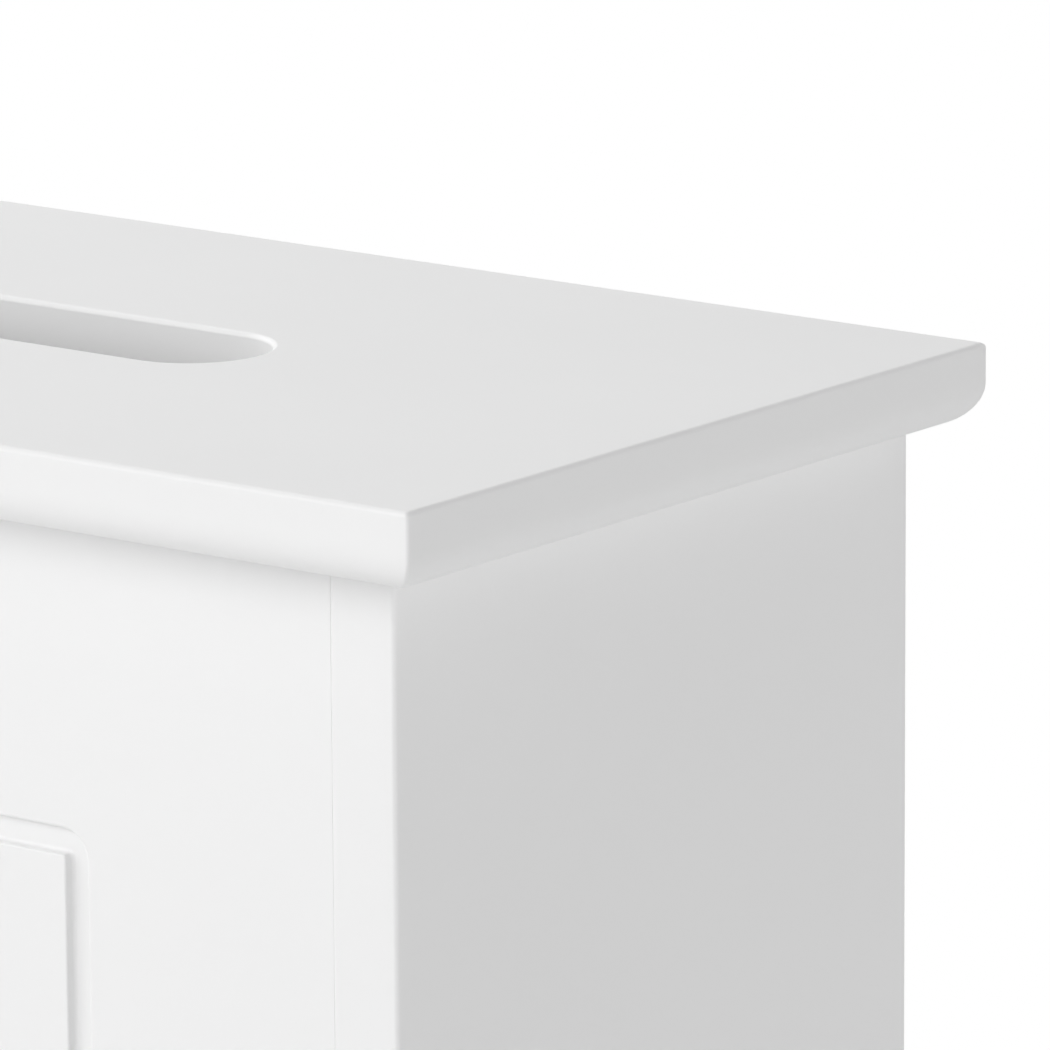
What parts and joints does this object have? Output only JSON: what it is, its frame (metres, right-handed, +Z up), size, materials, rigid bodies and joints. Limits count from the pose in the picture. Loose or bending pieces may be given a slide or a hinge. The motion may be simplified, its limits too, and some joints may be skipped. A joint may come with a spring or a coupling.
{
  "type": "toilet paper storage box",
  "caption": "Slim bathroom floor cabinet that stores toilet rolls, with a dispensing slot in its top board, a hinged panel door, shelves and a sprung spindle.",
  "frame": {"origin": "on the floor, under the middle of the top board", "axes": "+Z up, the door faces -Y, +X to the right of someone who faces the door"},
  "size_m": [0.35, 0.2, 0.65],
  "materials": {
    "white_paint": "satin white paint on medium density fibreboard",
    "white_board": "thin white-faced hardboard",
    "satin_nickel": "satin nickel plate",
    "zinc_steel": "zinc-plated steel",
    "cam_zinc": "die-cast zinc",
    "white_plastic": "moulded white plastic",
    "beech": "plain beech, fluted in reality",
    "ferrite": "sintered ferrite"
  },
  "bodies": {
    "case": {"top_board": "white_paint", "side_left": "white_paint", "side_right": "white_paint", "bottom_panel": "white_paint", "divider_shelf": "white_paint", "apron": "white_paint", "back_panel": "white_board", "shelf_lower": "white_paint", "shelf_upper": "white_paint", "shelf_pegs": "zinc_steel", "foot_glides": "white_plastic", "glide_nails": "zinc_steel", "hinge_frame_leaf_top": "satin_nickel", "hinge_frame_leaf_bottom": "satin_nickel", "hinge_pin_top": "satin_nickel", "hinge_pin_bottom": "satin_nickel", "hinge_screws_frame": "satin_nickel", "catch_housing": "white_plastic", "catch_magnet": "ferrite", "catch_pole_plates": "zinc_steel", "catch_screws": "zinc_steel", "roll_bracket_left": "white_plastic", "roll_bracket_right": "white_plastic", "bracket_screws": "zinc_steel", "cams_top": "cam_zinc", "cams_divider": "cam_zinc", "cams_bottom": "cam_zinc", "cam_bolts_top": "zinc_steel", "cam_bolts_divider": "zinc_steel", "cam_bolts_bottom": "zinc_steel", "cam_covers": "white_plastic", "dowels_top": "beech", "dowels_divider": "beech", "dowels_bottom": "beech", "dowels_apron": "beech", "back_panel_screws": "zinc_steel"},
    "door": {"door": "white_paint", "knob": "satin_nickel", "knob_screw": "zinc_steel", "hinge_door_leaf_top": "satin_nickel", "hinge_door_leaf_bottom": "satin_nickel", "hinge_screws_door": "satin_nickel", "strike_plate": "zinc_steel", "strike_screw": "zinc_steel"},
    "spindle": {"spindle_tube": "white_plastic", "spindle_spring": "zinc_steel"},
    "plunger": {"spindle_plunger": "white_plastic"}
  },
  "joints": [
    {"name": "door_hinge", "type": "hinge", "parent": "case", "child": "door", "pos_m": [-0.1379, -0.0821, 0.3557], "axis": [0, 0, -1], "range_deg": [0, 170]},
    {"name": "spindle_spin", "type": "hinge", "parent": "case", "child": "spindle", "pos_m": [0, -0.0008, 0.5644], "axis": [1, 0, 0], "continuous": true},
    {"name": "plunger_slide", "type": "slide", "parent": "spindle", "child": "plunger", "axis": [-1, 0, 0], "range_m": [0, 0.008], "stiffness_N_per_m": 300, "springref_m": -0.02, "deforming": ["spindle_spring"]}
  ]
}
